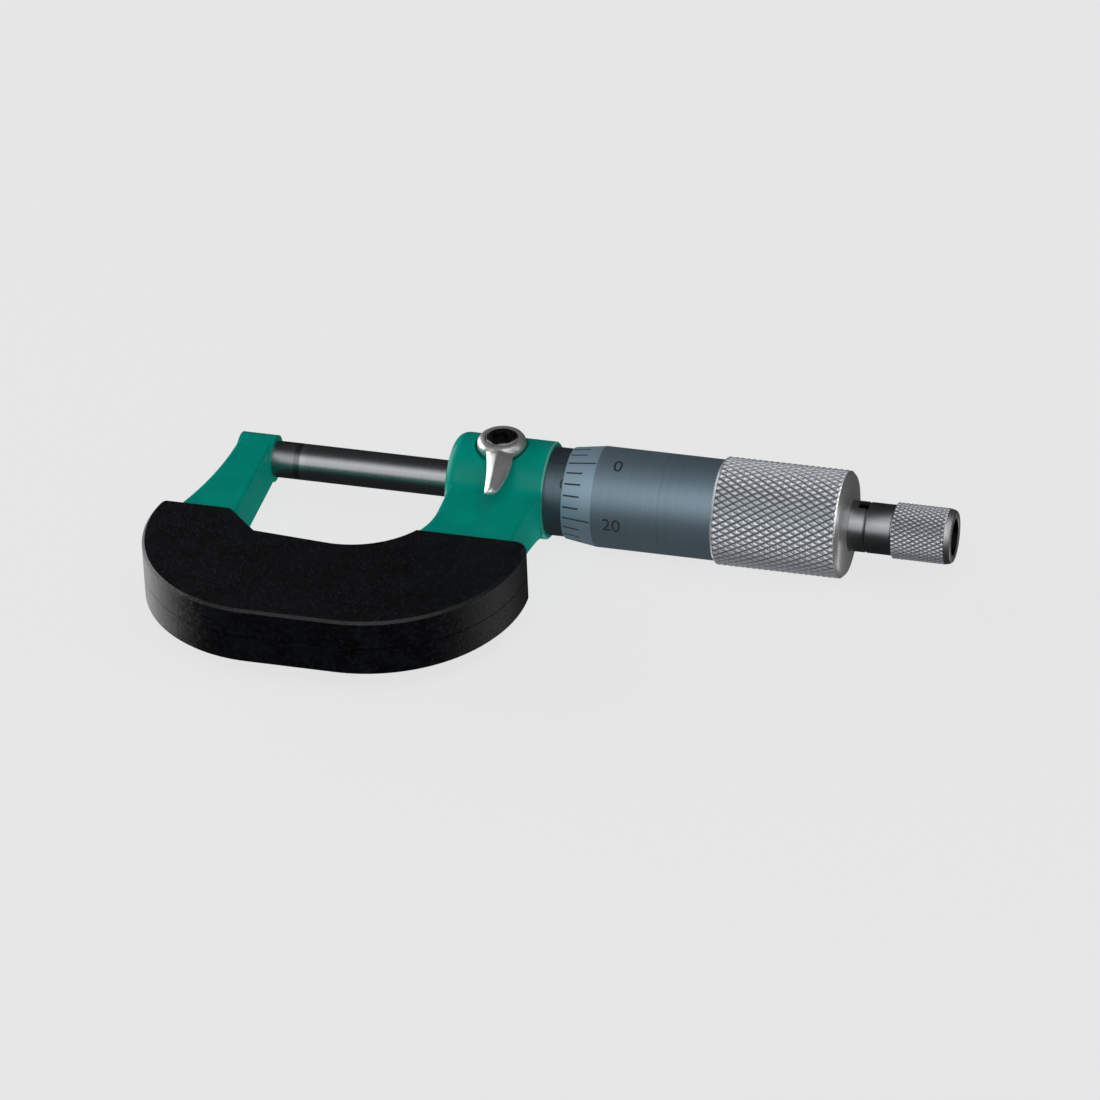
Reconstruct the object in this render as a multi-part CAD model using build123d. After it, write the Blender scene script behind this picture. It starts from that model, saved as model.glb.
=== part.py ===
from build123d import *
import math
import os

# Outside micrometer, 0 to 1 inch, lying on its back and closed.
# Everything is modelled about the measuring axis: X runs along it from the measuring faces
# to the ratchet, Y away from the open throat, Z up through the front cover.
# Positions along X are measured from the place where the two measuring faces meet.

# Measuring screw
TRAVEL = 25.4
SPINDLE_R = 3.175
THREAD_RISE = 0.725
THREAD_RUNOUT = 2.0
THREAD_CLEARANCE = 0.5
TIP_LENGTH = 1.0
FACE_GAP = 0.01
SCREW_FIT = 0.02

# Frame, seen from the front
FRAME_HALF = 4.0
ANVIL_REACH = 4.9
BOSS_LENGTH = 6.3
BOSS_R = 4.1
ANVIL_SHANK_STEP = 0.775
ANVIL_SHANK_SHORT = 0.3
THROAT_TURN_ABOVE_COVER = 0.6
THROAT_LEFT_DEPTH = 28.3
THROAT_RIGHT_DEPTH = 30.7
THROAT_RADIUS = 14.0
ARM_SET_BACK = 0.2
ARM_FLARE = 5.6
ARM_BOW_SHARE = 0.25
ARM_EDGE_R = 0.6
RIGHT_ARM_WIDTH = 16.9
RIGHT_ARM_WAIST = 0.6

# Collar of the frame, which holds the inner sleeve and the lock
COLLAR_START = 27.1
COLLAR_LENGTH = 17.5
COLLAR_WALL = 3.25
COLLAR_ROUND = 2.0
COLLAR_NOSE = 1.3
COLLAR_BLEND = 3.0
BLEND_MARGIN = 0.3
COLLAR_END_CHAMFER = 0.25
COLLAR_LIP = 1.2
LIP_CLEARANCE = 0.25

# Covers
COVER_LEFT = 18.7
COVER_RIGHT = 46.8
COVER_TOP = 23.5
COVER_BOTTOM = 53.2
COVER_LEFT_R = 23.5
COVER_RIGHT_R = 26.4
COVER_LEFT_CORNER = 1.2
COVER_RIGHT_CORNER = 2.4
COVER_PLATE = 1.3
COVER_RIM = 1.6
COVER_LEDGE = 0.9
COVER_BEVEL = 0.45
COVER_JOINT = 0.12
WEB_RECESS = 1.2
WEB_MARGIN = 3.2
DOWEL_R = 1.5
DOWEL_BOSS_WALL = 1.5
DOWEL_CLEARANCE = 0.1
DOWEL_SEAT = 0.8
DOWEL_FROM_SIDE = 7.4
DOWEL_FROM_TOP = 8.5
DOWEL_FROM_BOTTOM = 11.2

# Sleeves
RELIEF_GAP = 0.4
STUB_WALL = 0.9
INNER_SLEEVE_STEP = 1.0
INNER_SLEEVE_TAIL = 6.0
TAIL_WALL = 1.6
SLEEVE_WALL = 1.4
SLEEVE_FROM_COLLAR = 3.3
SLEEVE_PAST_SCALE = 2.7
SPANNER_HOLE_R = 0.7
SPANNER_HOLE_BACK = 1.7
GUIDE_LENGTH = 11.7
NUT_LENGTH = 15.0
SLOT_COUNT = 3
SLOT_WIDTH = 0.7
SLOT_LENGTH = 14.0
TAIL_GAP = 0.4
ADJUSTING_NUT_LENGTH = 5.0
ADJUSTING_NUT_WALL = 1.6
SPANNER_NOTCH = 1.4

# Thimble
THIMBLE_FIT = 0.08
THIMBLE_EDGE_WALL = 0.22
BEVEL_LENGTH = 5.4
THIMBLE_WALL = 1.02
KNURL_LENGTH = 22.1
KNURL_RISE = 0.6
KNURL_CHAMFER = 0.3
END_LENGTH = 0.9
END_CHAMFER = 0.7
HUB_CLEARANCE = 4.3
HUB_LENGTH = 10.9
TAPER_RISE = 0.8
TAPER_DROP = 0.6
TAPER_LENGTH = 7.4
NECK_SEAT_DEPTH = 3.2
NECK_FIT = 0.1

# Ratchet stop
NECK_STEP = 0.25
NECK_LENGTH = 2.85
NOTCH_WIDTH = 1.6
NOTCH_DEPTH = 1.0
STUD_R = 2.0
STUD_LENGTH = 6.5
JOURNAL_STEP = 1.05
JOURNAL_LENGTH = 4.4
JOURNAL_FIT = 0.05
TOOTH_COUNT = 12
TOOTH_HEIGHT = 0.6
TOOTH_WIDTH = 1.6
TOOTH_PLAY = 0.04
RING_THICKNESS = 1.4
KEY_WIDTH = 1.3
KEY_RISE = 0.45
KEY_FIT = 0.05
KNOB_SKIRT = 4.7
KNOB_KNURL_RISE = 0.48
KNOB_KNURL_LENGTH = 9.15
KNOB_LENGTH = 14.95
KNOB_END_DROP = 0.3
KNOB_WALL = 1.2
RECESS_RIM = 1.5
RECESS_DEPTH = 2.3
SCREW_SHOULDER_R = 1.2
SCREW_THREAD_R = 1.0
SCREW_THREAD_LENGTH = 6.0
SCREW_HEAD_R = 2.05
SCREW_HEAD_HEIGHT = 1.1
SCREW_SLOT = 0.5
WASHER_R = 2.3
WASHER_THICKNESS = 0.3
SPRING_R = 2.3
SPRING_WIRE_R = 0.25
SPRING_TURNS = 4
SPRING_SIDES = 5

# Spindle lock
LOCK_FROM_COLLAR = 8.7
LOCK_SEAT_DEPTH = 1.15
LOCK_SEAT_CLEARANCE = 0.4
LOCK_WASHER_THICKNESS = 0.3
LOCK_WASHER_R = 3.3
LOCK_BOLT_R = 1.9
LOCK_BOLT_FIT = 0.05
LOCK_BOLT_RISE = 0.9
LOCK_PAD_R = 1.5
LOCK_PAD_FIT = 0.05
LOCK_PAD_SHORT = 0.3
HUB_R = 4.25
HUB_HEIGHT = 2.3
LEVER_LENGTH = 15.0
LEVER_LEAN = 8.5
LEVER_ROOT_WIDTH = 5.2
LEVER_LEVEL_WIDTH = 4.4
LEVER_BELLY_WIDTH = 3.5
LEVER_TIP_WIDTH = 1.9
LEVER_BELLY = 0.4
LEVER_DROP = 1.0
LEVER_UNDERCUT = 0.8
LEVER_LEVEL_TO = 8.4
LEVER_BELLY_AT = 11.6
LEVER_TIP_THICKNESS = 1.3
LEVER_BEVEL = 0.35
CAP_HEAD_R = 2.75
CAP_HEAD_HEIGHT = 1.6
CAP_HEAD_FIT = 0.08
CAP_HEAD_PROUD = 0.2
CAP_SHANK_R = 1.1
CAP_SHANK_LENGTH = 2.2
SOCKET_ACROSS = 2.5
SOCKET_DEPTH = 1.1

# Radii that follow from one another, from the spindle outwards
thread_r = SPINDLE_R + THREAD_RISE
relief_r = thread_r + RELIEF_GAP
stub_r = relief_r + STUB_WALL
inner_sleeve_r = stub_r + INNER_SLEEVE_STEP
tail_r = thread_r + TAIL_WALL
adjusting_nut_r = tail_r + ADJUSTING_NUT_WALL
sleeve_r = inner_sleeve_r + SLEEVE_WALL
thimble_bore = sleeve_r + THIMBLE_FIT
thimble_edge_r = thimble_bore + THIMBLE_EDGE_WALL
thimble_r = thimble_bore + THIMBLE_WALL
knurl_r = thimble_r + KNURL_RISE
collar_r = stub_r + COLLAR_WALL
anvil_shank_r = SPINDLE_R - ANVIL_SHANK_STEP
taper_large_r = thread_r + TAPER_RISE
taper_small_r = taper_large_r - TAPER_DROP
neck_r = taper_small_r + NECK_STEP
journal_r = neck_r - JOURNAL_STEP
tooth_bore_r = journal_r - TOOTH_WIDTH
key_r = journal_r + KEY_RISE
knob_knurl_r = neck_r + KNOB_KNURL_RISE
knob_end_r = knob_knurl_r - KNOB_END_DROP
recess_r = knob_end_r - RECESS_RIM
dowel_boss_r = DOWEL_R + DOWEL_BOSS_WALL

# Places along the measuring axis
boss_end = -(ANVIL_REACH + BOSS_LENGTH)
arm_inner = -(ANVIL_REACH + ARM_SET_BACK)
throat_right = COLLAR_START + COLLAR_NOSE
collar_end = COLLAR_START + COLLAR_LENGTH
arm_outer = COLLAR_START + RIGHT_ARM_WIDTH
stub_start = COLLAR_START + COLLAR_LIP
guide_end = stub_start + GUIDE_LENGTH
lock_x = COLLAR_START + LOCK_FROM_COLLAR
scale_start = collar_end + SLEEVE_FROM_COLLAR
sleeve_end = scale_start + TRAVEL + SLEEVE_PAST_SCALE
inner_sleeve_end = sleeve_end + INNER_SLEEVE_TAIL
nut_start = inner_sleeve_end - NUT_LENGTH
hub_start = inner_sleeve_end + HUB_CLEARANCE
thread_start = guide_end + THREAD_CLEARANCE
thread_end = hub_start - THREAD_RUNOUT
thimble_end = hub_start + HUB_LENGTH
knurl_end = thimble_end - END_LENGTH
knurl_start = knurl_end - KNURL_LENGTH
neck_seat = thimble_end - NECK_SEAT_DEPTH
neck_end = thimble_end + NECK_LENGTH
journal_end = neck_end + JOURNAL_LENGTH
tooth_top = journal_end + TOOTH_HEIGHT
ring_end = tooth_top + RING_THICKNESS
knob_end = neck_end + KNOB_LENGTH
recess_floor = knob_end - RECESS_DEPTH
cavity_end = recess_floor - KNOB_WALL

# Places across it
throat_turn = COVER_TOP - THROAT_TURN_ABOVE_COVER
arm_foot = -(COVER_TOP + COVER_LEDGE + COVER_RIM)
blend_angle = math.asin((FRAME_HALF + COLLAR_BLEND) / (collar_r + COLLAR_BLEND))
blend_depth = (collar_r + COLLAR_BLEND) * math.cos(blend_angle) + BLEND_MARGIN
cover_z = FRAME_HALF + COVER_PLATE
left_curve_x = COVER_LEFT_R - COVER_LEFT
left_curve_y = COVER_LEFT_R - COVER_BOTTOM
right_curve_x = COVER_RIGHT - COVER_RIGHT_R
right_curve_y = COVER_RIGHT_R - COVER_BOTTOM
lock_seat = collar_r - LOCK_SEAT_DEPTH
lock_pad_top = stub_r - LOCK_PAD_SHORT
hub_bottom = lock_seat + LOCK_WASHER_THICKNESS
hub_top = hub_bottom + HUB_HEIGHT

# The covers' dowels keep their distance from the covers' curved sides
dowel_y = -COVER_TOP - DOWEL_FROM_TOP
left_side = left_curve_x - math.sqrt(COVER_LEFT_R**2 - (dowel_y - left_curve_y) ** 2)
right_side = right_curve_x + math.sqrt(COVER_RIGHT_R**2 - (dowel_y - right_curve_y) ** 2)
dowel_places = (
    (left_side + DOWEL_FROM_SIDE, dowel_y),
    ((COVER_RIGHT - COVER_LEFT) / 2, DOWEL_FROM_BOTTOM - COVER_BOTTOM),
    (right_side - DOWEL_FROM_SIDE, dowel_y),
)

# The part stands on the knurl, with its origin below the middle of its box
centre_x = (knob_end - COVER_LEFT) / 2
centre_y = (knurl_r - COVER_BOTTOM) / 2


def turned(*outline):
    """A body turned about the measuring axis, from points given as (place along X, radius)."""
    return revolve(make_face(Polyline(*outline, close=True)), Axis.X)


def rod(start, end, radius):
    """A round bar along the measuring axis."""
    return Pos((start + end) / 2, 0, 0) * Rot(0, 90, 0) * Cylinder(radius, end - start)


def post(x, y, low, high, radius):
    """An upright round bar."""
    return Pos(x, y, (low + high) / 2) * Cylinder(radius, high - low)


def level_edges(shape, height):
    """The edges of a shape that lie flat at one height."""
    return [
        edge
        for edge in shape.edges()
        if abs(edge.bounding_box().min.Z - height) < 1e-4
        and abs(edge.bounding_box().max.Z - height) < 1e-4
    ]


def cover_outline():
    """The covers' outer outline: two large curves with a flat between them, cut off level on top."""
    flat = right_curve_x - left_curve_x
    sheet = Pos((left_curve_x + right_curve_x) / 2, -COVER_BOTTOM / 2) * Rectangle(flat, COVER_BOTTOM)
    sheet += Pos(left_curve_x, left_curve_y) * Circle(COVER_LEFT_R)
    sheet += Pos(right_curve_x, right_curve_y) * Circle(COVER_RIGHT_R)
    reach = 2 * COVER_BOTTOM
    sheet -= Pos(0, reach / 2 - COVER_TOP) * Rectangle(2 * reach, reach)
    for corner, radius in ((0, COVER_LEFT_CORNER), (-1, COVER_RIGHT_CORNER)):
        top = sheet.vertices().filter_by(lambda v: v.Y > -COVER_TOP - 0.01).sort_by(Axis.X)
        sheet = fillet(top[corner], radius)
    return sheet


def throat_outline(grow=0.0):
    """The open throat, which runs on upwards past the measuring axis. It can be grown evenly."""
    above = 2 * collar_r
    slip = grow * math.tan(math.radians(22.5))
    turn = throat_turn + slip
    outline = make_face(
        Polyline(
            (arm_inner - grow, above),
            (arm_inner - grow, -turn),
            (arm_inner + THROAT_LEFT_DEPTH - throat_turn - slip, -THROAT_LEFT_DEPTH - grow),
            (throat_right + grow, -THROAT_RIGHT_DEPTH - grow),
            (throat_right + grow, above),
            close=True,
        )
    )
    corner = outline.vertices().filter_by(lambda v: v.Y < 0).sort_by(Axis.X)[-1]
    return fillet(corner, THROAT_RADIUS + grow)


def left_arm():
    """The arm that carries the anvil, flaring towards the covers."""
    side = ThreePointArc(
        (boss_end, 0),
        (boss_end - ARM_BOW_SHARE * ARM_FLARE, arm_foot / 2),
        (boss_end - ARM_FLARE, arm_foot),
    )
    inner = arm_inner + THROAT_LEFT_DEPTH - throat_turn
    rest = Polyline((boss_end - ARM_FLARE, arm_foot), (inner, arm_foot), (inner, 0), (boss_end, 0))
    return make_face(side.edges() + rest.edges())


def right_arm():
    """The wide arm under the collar. Its outer side is waisted and runs out to the collar's end."""
    waist = (arm_outer - RIGHT_ARM_WAIST, (arm_foot - blend_depth) / 2)
    side = ThreePointArc((collar_end, -blend_depth), waist, (arm_outer, arm_foot))
    inner = throat_right - THROAT_RADIUS
    rest = Polyline(
        (arm_outer, arm_foot),
        (inner, arm_foot),
        (inner, 0),
        (collar_end, 0),
        (collar_end, -blend_depth),
    )
    return make_face(side.edges() + rest.edges())


def bow_outline():
    """The part of the frame that the covers hold."""
    return offset(cover_outline(), -COVER_RIM)


def collar_section():
    """The collar's round section where the arm runs into it, with a cast blend on each side."""
    section = Circle(collar_r) + Pos(-blend_depth / 2, 0) * Rectangle(blend_depth, 2 * FRAME_HALF)
    corners = section.vertices().filter_by(lambda v: -collar_r < v.X < -1)
    return fillet(corners, COLLAR_BLEND)


def frame_collar():
    """The round collar: rounded at its throat end and blended into the arm all along."""
    inner = COLLAR_START + COLLAR_ROUND
    outline = Polyline((COLLAR_START, 0), (COLLAR_START, collar_r - COLLAR_ROUND))
    corner = CenterArc((inner, collar_r - COLLAR_ROUND), COLLAR_ROUND, 90, 90)
    rest = Polyline((inner, collar_r), (inner, 0), (COLLAR_START, 0))
    nose = revolve(make_face(outline.edges() + corner.edges() + rest.edges()), Axis.X)
    length = collar_end - inner
    sleeve_side = Pos(inner, 0, 0) * extrude(Plane.YZ * collar_section(), length)
    end = sleeve_side.faces().sort_by(Axis.X)[-1]
    rim = [edge for edge in end.edges() if edge.center().Y > BLEND_MARGIN / 4 - blend_depth]
    return nose + chamfer(rim, COLLAR_END_CHAMFER)


def frame():
    """The cast frame: a flat bow with two arms, the anvil boss and the collar."""
    plan = (bow_outline() + left_arm() + right_arm()) - throat_outline()
    plate = Pos(0, 0, -FRAME_HALF) * extrude(plan, 2 * FRAME_HALF)
    rims = level_edges(plate, FRAME_HALF) + level_edges(plate, -FRAME_HALF)
    bare = throat_outline(COVER_LEDGE).bounding_box()
    open_rims = [
        edge
        for edge in rims
        if edge.center().Y > -COVER_TOP or bare.min.X < edge.center().X < bare.max.X
        and edge.center().Y > bare.min.Y
    ]
    plate = fillet(open_rims, ARM_EDGE_R)
    web = offset(bow_outline() - throat_outline(COVER_LEDGE), -WEB_MARGIN)
    for side in (-1, 1):
        floor = side * (FRAME_HALF - WEB_RECESS / 2)
        plate -= Pos(0, 0, floor - WEB_RECESS / 2) * extrude(web, WEB_RECESS)
    for x, y in dowel_places:
        plate += post(x, y, -FRAME_HALF, FRAME_HALF, dowel_boss_r)
    body = plate + frame_collar()
    body += rod(boss_end, -ANVIL_REACH, BOSS_R)
    body -= rod(boss_end - 1, 0, anvil_shank_r)
    body -= rod(COLLAR_START - 1, collar_end, SPINDLE_R + LIP_CLEARANCE)
    body -= rod(stub_start, collar_end + 1, stub_r)
    body -= post(lock_x, 0, 0, lock_seat + 1, LOCK_BOLT_R + LOCK_BOLT_FIT)
    body -= post(lock_x, 0, lock_seat, hub_top, HUB_R + LOCK_SEAT_CLEARANCE)
    for x, y in dowel_places:
        body -= post(x, y, -cover_z, cover_z, DOWEL_R + DOWEL_CLEARANCE)
    return body


def cover_shell():
    """One half of the covers: a plate with a rim that wraps the bow, open towards the frame."""
    outline = cover_outline() - throat_outline(COVER_LEDGE)
    shell = Pos(0, 0, COVER_JOINT / 2) * extrude(outline, cover_z - COVER_JOINT / 2)
    shell = chamfer(level_edges(shell, cover_z), COVER_BEVEL)
    room = bow_outline() + left_arm() + right_arm()
    return shell - extrude(room, FRAME_HALF)


def front_cover():
    """The front half, with the moulded dowels that pass through the frame."""
    cover = cover_shell()
    for x, y in dowel_places:
        cover += post(x, y, -FRAME_HALF - DOWEL_SEAT + DOWEL_CLEARANCE, FRAME_HALF, DOWEL_R)
    return cover


def back_cover():
    """The back half, with a blind seat for each dowel."""
    cover = mirror(cover_shell(), Plane.XY)
    for x, y in dowel_places:
        cover -= post(x, y, -FRAME_HALF - DOWEL_SEAT, -FRAME_HALF, DOWEL_R + DOWEL_CLEARANCE)
    return cover


def anvil():
    """The fixed anvil, a stepped pin pressed through the boss."""
    return turned(
        (boss_end + ANVIL_SHANK_SHORT, 0),
        (boss_end + ANVIL_SHANK_SHORT, anvil_shank_r),
        (-ANVIL_REACH, anvil_shank_r),
        (-ANVIL_REACH, SPINDLE_R),
        (-TIP_LENGTH, SPINDLE_R),
        (-TIP_LENGTH, 0),
    )


def anvil_tip():
    """The hard face of the anvil."""
    return rod(-TIP_LENGTH, 0, SPINDLE_R)


def spindle_tip():
    """The hard face of the spindle."""
    return rod(FACE_GAP, TIP_LENGTH + FACE_GAP, SPINDLE_R)


def spindle():
    """The measuring spindle: a ground shank, the measuring thread and the taper for the thimble."""
    body = turned(
        (TIP_LENGTH + FACE_GAP, 0),
        (TIP_LENGTH + FACE_GAP, SPINDLE_R),
        (thread_start, SPINDLE_R),
        (thread_start + thread_r - SPINDLE_R, thread_r),
        (thread_end, thread_r),
        (thread_end, SPINDLE_R),
        (hub_start, SPINDLE_R),
        (hub_start, taper_large_r),
        (hub_start + TAPER_LENGTH, taper_small_r),
        (hub_start + TAPER_LENGTH, 0),
    )
    return body - rod(neck_seat - STUD_LENGTH - 1, neck_seat, STUD_R)


def inner_sleeve():
    """The nut tube pressed in the collar. Its slotted tail is closed on the thread by a nut."""
    tube = turned(
        (stub_start, SPINDLE_R + SCREW_FIT),
        (stub_start, stub_r),
        (collar_end, stub_r),
        (collar_end, inner_sleeve_r),
        (sleeve_end, inner_sleeve_r),
        (sleeve_end, tail_r),
        (inner_sleeve_end, tail_r),
        (inner_sleeve_end, thread_r + SCREW_FIT),
        (nut_start, thread_r + SCREW_FIT),
        (nut_start, relief_r),
        (guide_end, relief_r),
        (guide_end, SPINDLE_R + SCREW_FIT),
    )
    slot = Pos(inner_sleeve_end, 0, inner_sleeve_r) * Box(
        2 * SLOT_LENGTH, SLOT_WIDTH, 2 * (inner_sleeve_r - thread_r + RELIEF_GAP)
    )
    for turn in range(SLOT_COUNT):
        tube -= Rot(360 * turn / SLOT_COUNT, 0, 0) * slot
    return tube - post(lock_x, 0, 0, stub_r + 1, LOCK_PAD_R + LOCK_PAD_FIT)


def adjusting_nut():
    """The nut round the slotted tail, with two spanner notches."""
    start = sleeve_end + TAIL_GAP
    end = start + ADJUSTING_NUT_LENGTH
    nut = turned(
        (start, tail_r),
        (start, adjusting_nut_r),
        (end - KNURL_CHAMFER, adjusting_nut_r),
        (end, adjusting_nut_r - KNURL_CHAMFER),
        (end, tail_r),
    )
    notch = Pos(end, 0, 0) * Box(SPANNER_NOTCH, SPANNER_NOTCH, 4 * adjusting_nut_r)
    return nut - notch


def sleeve():
    """The graduated outer sleeve, with the spanner hole for setting zero on its back."""
    tube = turned(
        (collar_end, inner_sleeve_r),
        (collar_end, sleeve_r),
        (sleeve_end - KNURL_CHAMFER, sleeve_r),
        (sleeve_end, sleeve_r - KNURL_CHAMFER),
        (sleeve_end, inner_sleeve_r),
    )
    hole_x = scale_start - SPANNER_HOLE_BACK
    return tube - post(hole_x, 0, -sleeve_r - 1, 0, SPANNER_HOLE_R)


def thimble():
    """The thimble: a bevelled tube with a knurled band and a tapered hub at its rear."""
    return turned(
        (scale_start, thimble_bore),
        (scale_start, thimble_edge_r),
        (scale_start + BEVEL_LENGTH, thimble_r),
        (knurl_start, thimble_r),
        (knurl_start, knurl_r - KNURL_CHAMFER),
        (knurl_start + KNURL_CHAMFER, knurl_r),
        (knurl_end, knurl_r),
        (thimble_end, knurl_r - END_CHAMFER),
        (thimble_end, neck_r + NECK_FIT),
        (neck_seat, neck_r + NECK_FIT),
        (neck_seat, taper_small_r),
        (hub_start + TAPER_LENGTH, taper_small_r),
        (hub_start, taper_large_r),
        (hub_start, thimble_bore),
    )


def tooth_ring(shift):
    """The saw teeth of the ratchet, standing on the end of the journal."""
    middle = (tooth_bore_r + journal_r) / 2
    width = 2 * math.pi * middle / TOOTH_COUNT
    radial = journal_r - tooth_bore_r
    profile = make_face(Polyline((0, -width / 2), (0, width / 2), (TOOTH_HEIGHT, width / 2), close=True))
    tooth = Pos(0, 0, tooth_bore_r - radial) * extrude(profile, 3 * radial)
    teeth = [Rot(360 * turn / TOOTH_COUNT, 0, 0) * tooth for turn in range(TOOTH_COUNT)]
    band = rod(0, TOOTH_HEIGHT, journal_r) - rod(-1, TOOTH_HEIGHT + 1, tooth_bore_r)
    crown = teeth[0].fuse(*teeth[1:]) & band
    return Pos(journal_end + shift, 0, 0) * crown


def ratchet_base():
    """The ratchet's body: a stud into the spindle, the neck, and a journal with saw teeth."""
    body = turned(
        (neck_seat - STUD_LENGTH, 0),
        (neck_seat - STUD_LENGTH, STUD_R),
        (neck_seat, STUD_R),
        (neck_seat, neck_r),
        (neck_end - KNURL_CHAMFER, neck_r),
        (neck_end, neck_r - KNURL_CHAMFER),
        (neck_end, journal_r),
        (journal_end, journal_r),
        (journal_end, 0),
    )
    notch = Pos(neck_end - NOTCH_WIDTH / 2, 0, neck_r) * Box(NOTCH_WIDTH, NOTCH_WIDTH, 2 * NOTCH_DEPTH)
    body = body - notch - Rot(180, 0, 0) * notch
    body += tooth_ring(0)
    return body - rod(journal_end - SCREW_THREAD_LENGTH - 1, tooth_top + 1, SCREW_THREAD_R)


def key(radius, width, start, end):
    """Two keys across the ratchet's bore, as one bar."""
    return Pos((start + end) / 2, 0, 0) * Box(end - start, width, 2 * radius)


def ratchet_ring():
    """The toothed ring: it is keyed in the knob and meshes with the ratchet's body."""
    outer = journal_r - JOURNAL_FIT / 2
    ring = rod(journal_end + TOOTH_PLAY, ring_end, outer)
    ring += key(key_r, KEY_WIDTH, tooth_top, ring_end) & rod(tooth_top, ring_end, key_r)
    ring -= rod(journal_end, ring_end + 1, tooth_bore_r)
    return ring - tooth_ring(TOOTH_PLAY)


def ratchet_knob():
    """The knurled knob: a cup that turns on the journal and holds the sprung ring."""
    bore = journal_r + JOURNAL_FIT
    grip_start = neck_end + KNOB_SKIRT
    grip_end = grip_start + KNOB_KNURL_LENGTH
    start = neck_end + JOURNAL_FIT
    cup = turned(
        (start, bore),
        (start, neck_r - KNURL_CHAMFER),
        (start + KNURL_CHAMFER, neck_r),
        (grip_start, neck_r),
        (grip_start, knob_knurl_r - KNURL_CHAMFER),
        (grip_start + KNURL_CHAMFER, knob_knurl_r),
        (grip_end, knob_knurl_r),
        (knob_end, knob_end_r),
        (knob_end, recess_r),
        (recess_floor, recess_r),
        (recess_floor, SCREW_SHOULDER_R + JOURNAL_FIT),
        (cavity_end, SCREW_SHOULDER_R + JOURNAL_FIT),
        (cavity_end, bore),
    )
    keyway = key(key_r + KEY_FIT, KEY_WIDTH + 2 * KEY_FIT, start - 1, cavity_end)
    return cup - (keyway & rod(start - 1, cavity_end, key_r + KEY_FIT))


def ratchet_spring():
    """The spring that presses the toothed ring on the ratchet's body."""
    length = cavity_end - ring_end - 2 * SPRING_WIRE_R
    path = Helix(pitch=length / SPRING_TURNS, height=length, radius=SPRING_R)
    section = Plane(path @ 0, z_dir=path % 0) * RegularPolygon(SPRING_WIRE_R, SPRING_SIDES)
    coil = sweep(section, path=path, is_frenet=True)
    return Pos(ring_end + SPRING_WIRE_R, 0, 0) * Rot(0, 90, 0) * coil


def ratchet_washer():
    """The washer under the head of the ratchet's screw."""
    start = recess_floor + JOURNAL_FIT
    end = start + WASHER_THICKNESS
    return rod(start, end, WASHER_R) - rod(start - 1, end + 1, SCREW_SHOULDER_R)


def ratchet_screw():
    """The shouldered screw that holds the knob on the ratchet's body."""
    head_start = recess_floor + JOURNAL_FIT + WASHER_THICKNESS
    head_end = head_start + SCREW_HEAD_HEIGHT
    screw = turned(
        (journal_end - SCREW_THREAD_LENGTH, 0),
        (journal_end - SCREW_THREAD_LENGTH, SCREW_THREAD_R),
        (journal_end, SCREW_THREAD_R),
        (journal_end, SCREW_SHOULDER_R),
        (head_start, SCREW_SHOULDER_R),
        (head_start, SCREW_HEAD_R),
        (head_end - SCREW_SLOT / 2, SCREW_HEAD_R),
        (head_end, SCREW_HEAD_R - SCREW_SLOT / 2),
        (head_end, 0),
    )
    return screw - Pos(head_end, 0, 0) * Box(SCREW_SLOT * 2, SCREW_SLOT, 4 * SCREW_HEAD_R)


def lock_pad():
    """The brass pad of the lock, hollowed to the spindle and just clear of it."""
    pad = post(lock_x, 0, 0, lock_pad_top, LOCK_PAD_R)
    return pad - rod(lock_x - 2 * LOCK_PAD_R, lock_x + 2 * LOCK_PAD_R, SPINDLE_R + LOCK_PAD_FIT)


def lock_bolt():
    """The threaded bolt of the lock, with a nose that presses the pad."""
    shoulder = stub_r + LOCK_BOLT_FIT
    top = hub_bottom + LOCK_BOLT_RISE
    bolt = post(lock_x, 0, shoulder, top, LOCK_BOLT_R)
    bolt += post(lock_x, 0, lock_pad_top + LOCK_PAD_FIT, shoulder, LOCK_PAD_R - LOCK_PAD_FIT)
    return bolt - post(lock_x, 0, top - CAP_SHANK_LENGTH, top, CAP_SHANK_R)


def lock_washer():
    """The washer between the lever and the collar."""
    washer = post(lock_x, 0, lock_seat, hub_bottom, LOCK_WASHER_R)
    return washer - post(lock_x, 0, lock_seat - 1, hub_bottom + 1, LOCK_BOLT_R + LOCK_BOLT_FIT)


def arm_section(reach, width, low, high, aside=0.0):
    """One section of the lever's arm, with its two upper edges bevelled."""
    left = aside - width / 2
    right = aside + width / 2
    return make_face(
        Polyline(
            (left, -reach, low),
            (right, -reach, low),
            (right, -reach, high - LEVER_BEVEL),
            (right - LEVER_BEVEL, -reach, high),
            (left + LEVER_BEVEL, -reach, high),
            (left, -reach, high - LEVER_BEVEL),
            close=True,
        )
    )


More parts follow.
